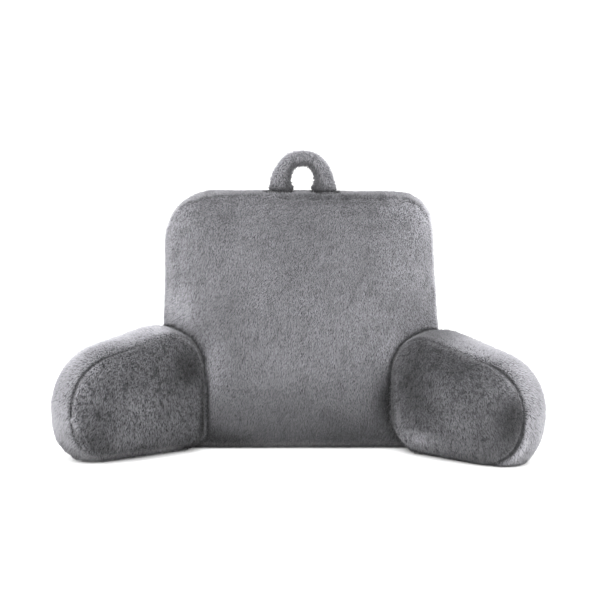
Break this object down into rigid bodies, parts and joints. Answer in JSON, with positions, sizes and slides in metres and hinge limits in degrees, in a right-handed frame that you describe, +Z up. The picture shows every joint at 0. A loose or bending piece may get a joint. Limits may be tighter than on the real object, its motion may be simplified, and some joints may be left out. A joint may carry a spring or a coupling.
{
  "type": "reading pillow",
  "caption": "Plush reading pillow: a stuffed upright back, stuffed arms that splay outwards from its lower front corners, and a padded carrying loop on its top edge.",
  "frame": {"origin": "on the floor, in the middle of the back cushion's base", "axes": "+X to the right as seen from the front, across both arms; +Y to the rear; +Z up"},
  "size_m": [0.8017, 0.3628, 0.498],
  "materials": {
    "plush": "dense grey plush pile, matt, brushed mainly downwards"
  },
  "bodies": {
    "root": {"back_cushion": "plush", "arm_left": "plush", "arm_right": "plush", "carry_loop": "plush"}
  },
  "joints": []
}
